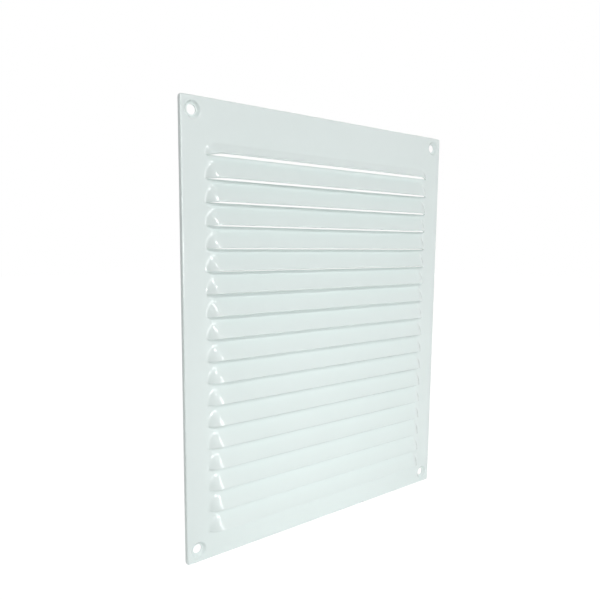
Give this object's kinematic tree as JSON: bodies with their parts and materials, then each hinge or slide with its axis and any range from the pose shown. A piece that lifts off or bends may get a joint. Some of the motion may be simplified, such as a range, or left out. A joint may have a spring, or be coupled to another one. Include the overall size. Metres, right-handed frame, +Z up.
{
  "type": "louvred vent grille",
  "caption": "Flat wall vent grille pressed from one white lacquered sheet, with a plain border, downward louvres closed at both ends, a turned-back rim and dimpled screw holes in the corners.",
  "frame": {"origin": "in the wall plane, midway between the four screw holes", "axes": "+Z up along the height, +Y into the wall, +X to the right seen from the front, which faces -Y"},
  "size_m": [0.2, 0.0081, 0.25],
  "materials": {
    "white_lacquer": "semi-gloss white lacquer"
  },
  "bodies": {
    "root": {"louvred_grille": "white_lacquer"}
  },
  "joints": []
}
